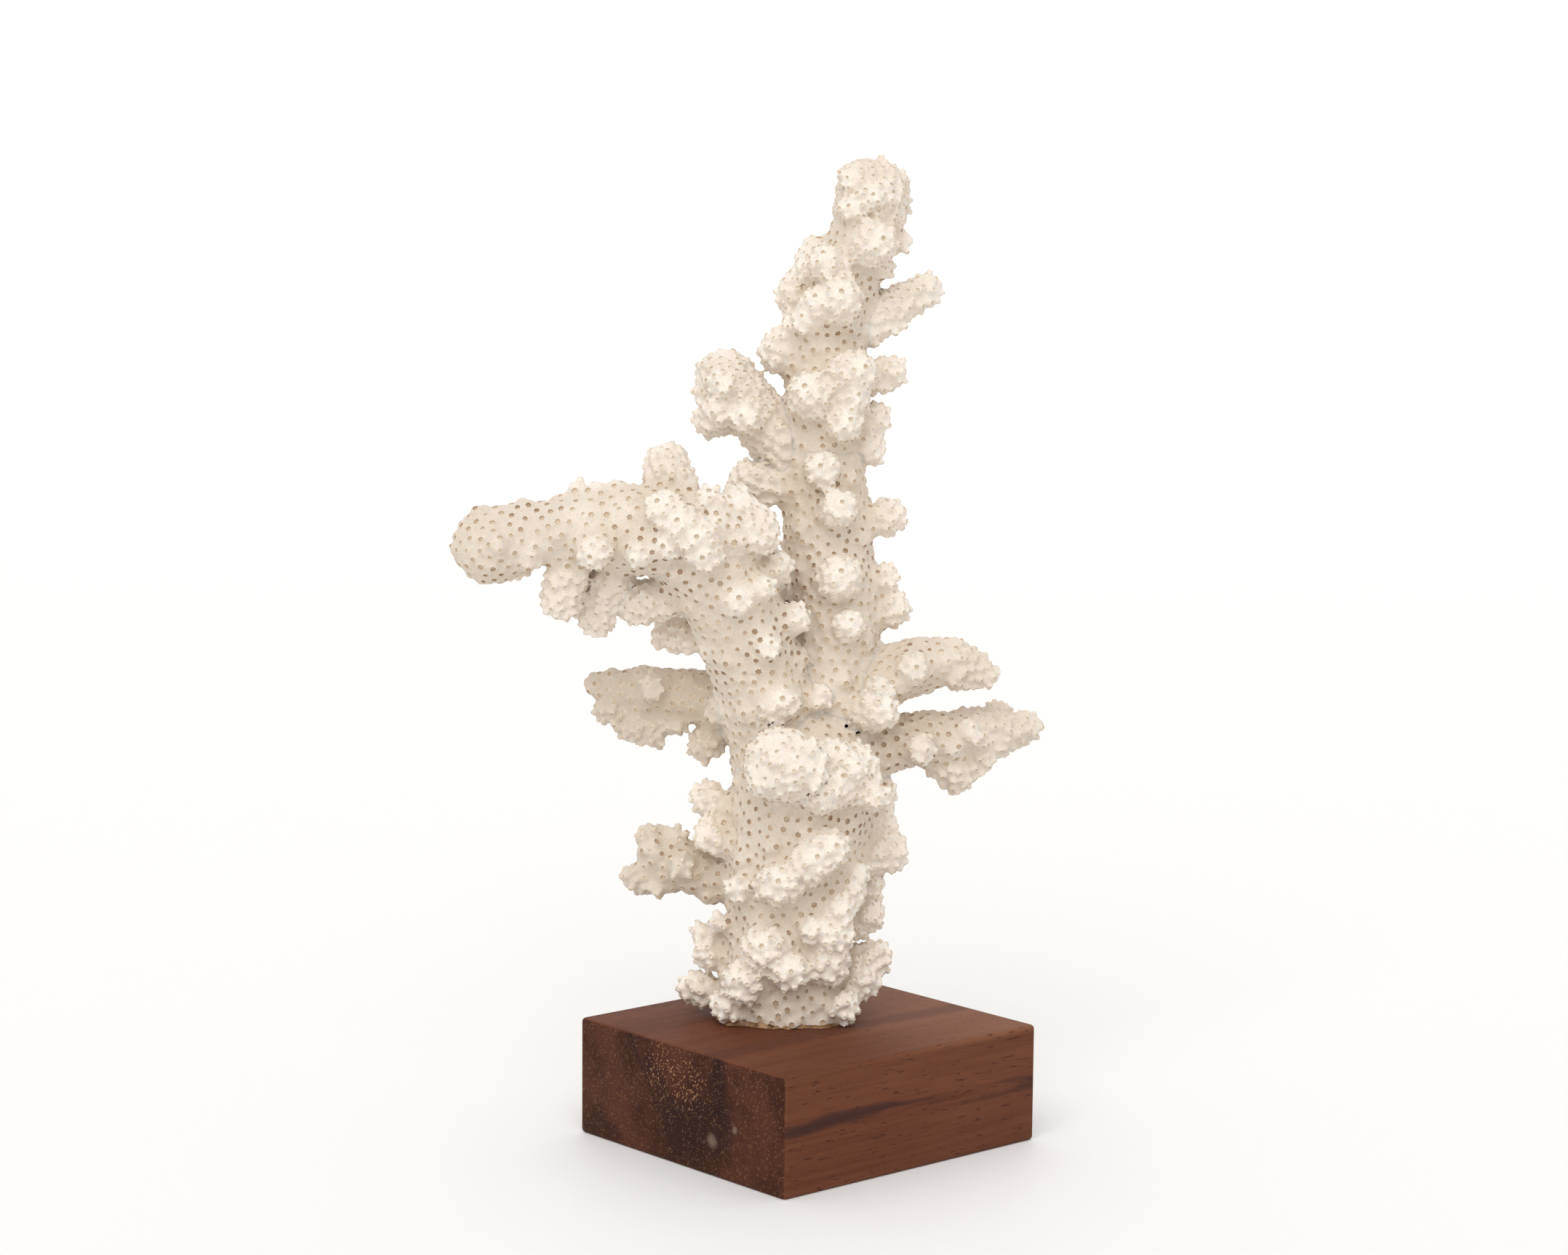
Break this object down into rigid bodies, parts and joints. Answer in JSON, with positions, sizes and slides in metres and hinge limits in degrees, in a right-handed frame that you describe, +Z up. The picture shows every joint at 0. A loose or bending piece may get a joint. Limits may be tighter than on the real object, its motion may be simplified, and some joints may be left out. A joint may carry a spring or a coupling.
{
  "type": "mounted coral specimen",
  "caption": "Bleached branching stony coral with stubby branchlets, fixed upright on a small rectangular hardwood block.",
  "frame": {"origin": "centre of the flat underside of the wood block", "axes": "+Z up; X along the block's long side and its grain; the coral's widest spread runs from (-X, +Y) to (+X, -Y)"},
  "size_m": [0.0991, 0.0684, 0.1821],
  "materials": {
    "coral": "matte",
    "wood": "satin",
    "glue": "satin"
  },
  "bodies": {
    "root": {"wood_block": "wood", "glue_pad": "glue", "trunk": "coral", "front_stub": "coral", "lower_left_branch": "coral", "pointed_left_branch": "coral", "left_limb": "coral", "left_arm": "coral", "spire_lower": "coral", "spire_upper": "coral", "upper_left_branch": "coral", "upper_right_twig": "coral", "right_upper_branch": "coral", "right_lower_branch": "coral"}
  },
  "joints": []
}
